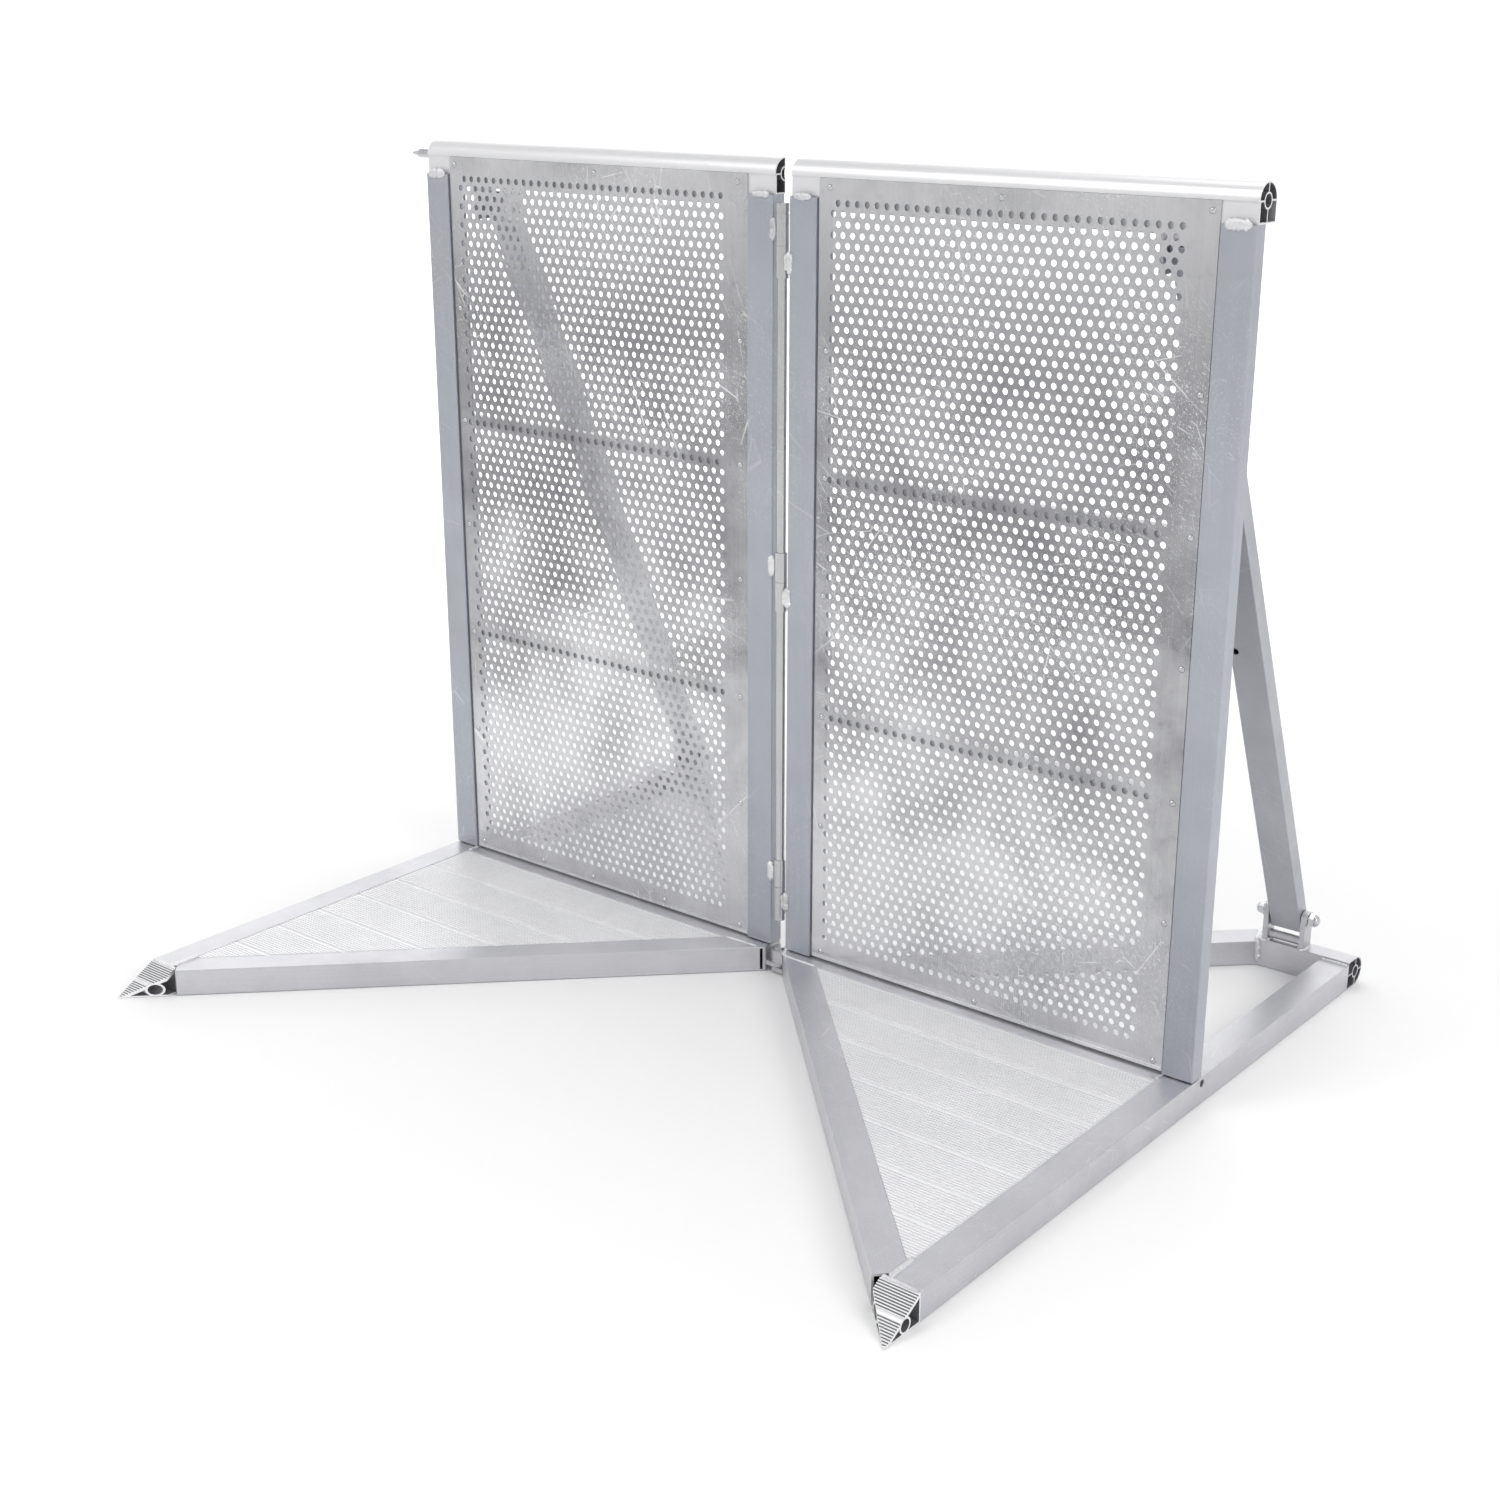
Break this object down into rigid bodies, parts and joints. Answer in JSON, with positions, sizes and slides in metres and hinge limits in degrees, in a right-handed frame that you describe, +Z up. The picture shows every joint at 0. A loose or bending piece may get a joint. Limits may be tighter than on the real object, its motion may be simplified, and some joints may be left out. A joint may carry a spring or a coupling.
{
  "type": "crowd control barrier",
  "caption": "Aluminium stage-front crowd barrier for a corner: perforated fence halves hinged together on triangular ribbed bases, braced by rear struts.",
  "frame": {"origin": "on the ground, under the middle of the barrier's overall box", "axes": "+X along the fence from the spigot end to the socket end, -Y towards the crowd, +Z up"},
  "size_m": [1.46, 1.23, 1.2],
  "materials": {
    "frame_aluminium": "mill-finish extruded tube, satin",
    "rail_aluminium": "smooth extruded rail, bright satin",
    "sheet_aluminium": "perforated sheet with light scratches",
    "base_aluminium": "mill-finish square-edged tube, dull",
    "deck_aluminium": "ribbed extruded plank, satin",
    "strut_aluminium": "mill-finish tube and plate",
    "plain_steel": "zinc-plated bar and screws",
    "bright_steel": "bright turned steel"
  },
  "bodies": {
    "right_half": {"base_cross_tube_right": "base_aluminium", "base_lugs_right": "base_aluminium", "base_pivot_pin": "plain_steel", "base_side_tube_right": "base_aluminium", "bottom_cross_tube_right": "frame_aluminium", "cap_nuts_right": "bright_steel", "clevis_stud_right": "plain_steel", "clevis_washers_right": "bright_steel", "deck_planks_right": "deck_aluminium", "front_diagonal_tube_right": "base_aluminium", "hinge_knuckles_right": "plain_steel", "hinge_rod": "plain_steel", "inner_post_right": "frame_aluminium", "lower_cross_tube_right": "frame_aluminium", "nose_ramp_right": "deck_aluminium", "outer_post_right": "frame_aluminium", "perforated_sheet_right": "sheet_aluminium", "pivot_pin_right": "plain_steel", "post_tongue_right": "strut_aluminium", "rear_crossbar_right": "rail_aluminium", "rear_diagonal_tube_right": "base_aluminium", "rod_collar": "plain_steel", "rod_end_ring": "plain_steel", "sheet_screws_right": "plain_steel", "strut_clevis_right": "strut_aluminium", "strut_hanger_right": "strut_aluminium", "top_cross_tube_right": "plain_steel", "top_rail_right": "rail_aluminium", "upper_cross_tube_right": "frame_aluminium"},
    "left_half": {"base_cross_tube_left": "base_aluminium", "base_lug_left": "base_aluminium", "base_side_tube_left": "base_aluminium", "bottom_cross_tube_left": "frame_aluminium", "cap_nuts_left": "bright_steel", "clevis_stud_left": "plain_steel", "clevis_washers_left": "bright_steel", "deck_planks_left": "deck_aluminium", "front_diagonal_tube_left": "base_aluminium", "hinge_knuckles_left": "plain_steel", "inner_post_left": "frame_aluminium", "lower_cross_tube_left": "frame_aluminium", "nose_ramp_left": "deck_aluminium", "outer_post_left": "frame_aluminium", "perforated_sheet_left": "sheet_aluminium", "pivot_pin_left": "plain_steel", "post_tongue_left": "strut_aluminium", "rail_spigot": "bright_steel", "rear_crossbar_left": "rail_aluminium", "rear_diagonal_tube_left": "base_aluminium", "sheet_screws_left": "plain_steel", "strut_clevis_left": "strut_aluminium", "strut_hanger_left": "strut_aluminium", "top_cross_tube_left": "plain_steel", "top_rail_left": "rail_aluminium", "upper_cross_tube_left": "frame_aluminium"},
    "right_strut": {"strut_right": "strut_aluminium", "strut_top_pin_right": "plain_steel"},
    "left_strut": {"strut_left": "strut_aluminium", "strut_top_pin_left": "plain_steel"}
  },
  "joints": [
    {"name": "corner_hinge", "type": "hinge", "parent": "right_half", "child": "left_half", "pos_m": [0.028, 0.085, 0.6], "axis": [0, 0, 1], "range_deg": [-35, 88]},
    {"name": "right_strut_hinge", "type": "hinge", "parent": "right_half", "child": "right_strut", "pos_m": [0.623, 0.577, 0.092], "axis": [-1, 0, 0], "range_deg": [0, 115]},
    {"name": "left_strut_hinge", "type": "hinge", "parent": "left_half", "child": "left_strut", "pos_m": [-0.567, 0.577, 0.092], "axis": [-1, 0, 0], "range_deg": [0, 115]}
  ]
}
